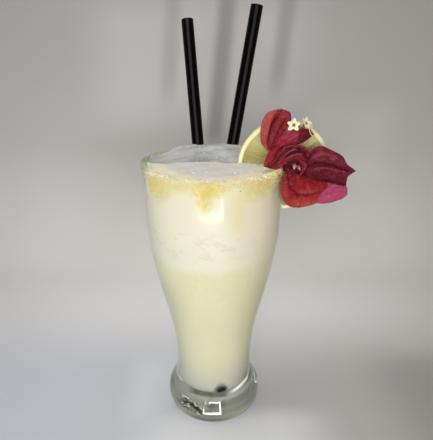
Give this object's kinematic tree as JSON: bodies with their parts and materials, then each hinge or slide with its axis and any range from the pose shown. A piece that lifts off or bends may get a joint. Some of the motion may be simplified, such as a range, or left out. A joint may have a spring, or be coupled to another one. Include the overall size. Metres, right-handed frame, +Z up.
{
  "type": "glass of lemonade",
  "caption": "Tall footed glass of frothy lemonade with a sugared syrup rim, black drinking straws, a citrus wheel and a red and magenta bract flower on the rim.",
  "frame": {"origin": "centre of the flat underside of the glass", "axes": "+Z up along the glass; the drink is seen from -Y, the straws lean back to +Y, and the wheel and flower sit on the rim at +X"},
  "size_m": [0.1291, 0.1077, 0.2699],
  "materials": {
    "clear_glass": "clear polished glass",
    "lemonade": "cloudy pale yellow drink",
    "froth": "creamy froth and fine ice",
    "straw": "satin black",
    "citrus": "moist citrus flesh, pith and rind",
    "sugar": "sugar crystals in golden syrup",
    "stem": "green stem",
    "bract_warm": "papery, red to orange-red",
    "bract_magenta": "papery, maroon to magenta",
    "star": "cream petals",
    "bud": "pink"
  },
  "bodies": {
    "root": {"glass": "clear_glass", "lemonade": "lemonade", "froth": "froth", "straw_left": "straw", "straw_right": "straw", "citrus_wheel": "citrus", "sugar_rim": "sugar", "stem": "stem", "bract_upper_left": "bract_warm", "bract_upper_right": "bract_magenta", "bract_left": "bract_warm", "bract_hood": "bract_magenta", "bract_right": "bract_magenta", "bract_lower_right": "bract_magenta", "bract_lower": "bract_warm", "star_flower_left": "star", "star_flower_right": "star", "star_flower_edge": "star", "bud_long": "bud", "bud_short": "bud"}
  },
  "joints": []
}
